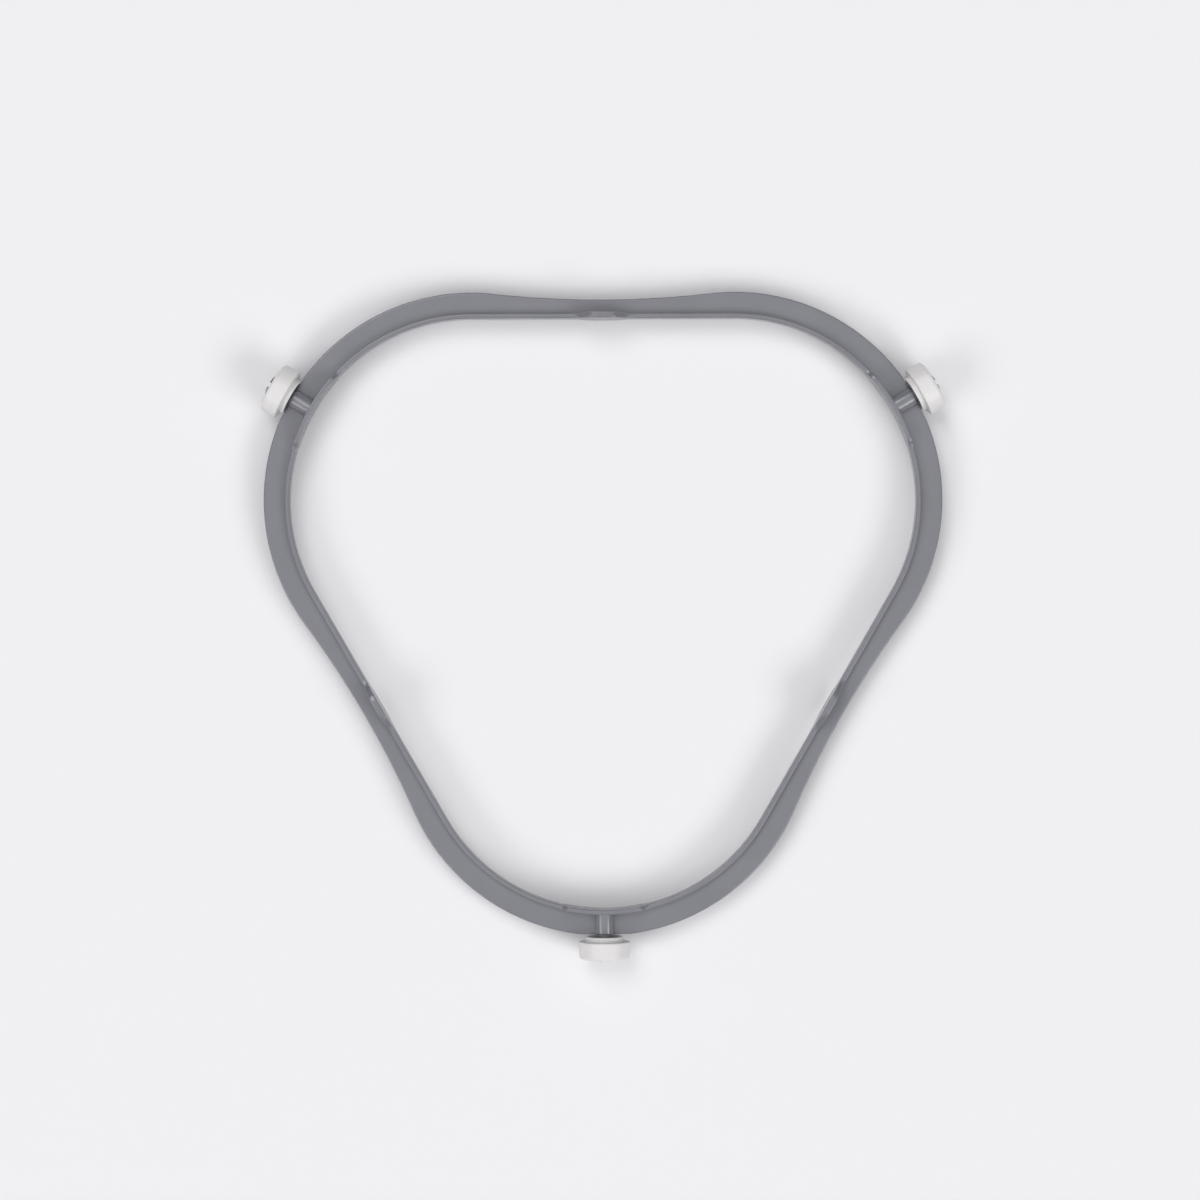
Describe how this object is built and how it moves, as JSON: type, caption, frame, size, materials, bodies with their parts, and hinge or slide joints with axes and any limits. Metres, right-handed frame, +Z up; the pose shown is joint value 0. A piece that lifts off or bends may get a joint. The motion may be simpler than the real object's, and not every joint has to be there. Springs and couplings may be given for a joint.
{
  "type": "microwave roller ring",
  "caption": "Lobed flat plastic ring with a low inner wall and a small roller on a snap axle at each lobe. It turns on a microwave oven's floor and carries the glass tray.",
  "frame": {"origin": "the centre that the ring turns about, on the oven floor that the rollers stand on", "axes": "+Z up, along the turning axis; -Y towards the front roller, so the other rollers point 30 degrees above +X and -X"},
  "size_m": [0.2003, 0.196, 0.015],
  "materials": {
    "ring_plastic": "satin moulded grey",
    "roller_plastic": "smooth moulded white"
  },
  "bodies": {
    "ring": {"ring_frame": "ring_plastic"},
    "front_roller": {"roller_front": "roller_plastic"},
    "right_roller": {"roller_right": "roller_plastic"},
    "left_roller": {"roller_left": "roller_plastic"}
  },
  "joints": [
    {"name": "front_roller_spin", "type": "hinge", "parent": "ring", "child": "front_roller", "pos_m": [0, -0.109, 0.0075], "axis": [0, -1, 0], "continuous": true},
    {"name": "right_roller_spin", "type": "hinge", "parent": "ring", "child": "right_roller", "pos_m": [0.0944, 0.0545, 0.0075], "axis": [0.866, 0.5, 0], "continuous": true},
    {"name": "left_roller_spin", "type": "hinge", "parent": "ring", "child": "left_roller", "pos_m": [-0.0944, 0.0545, 0.0075], "axis": [-0.866, 0.5, 0], "continuous": true}
  ]
}
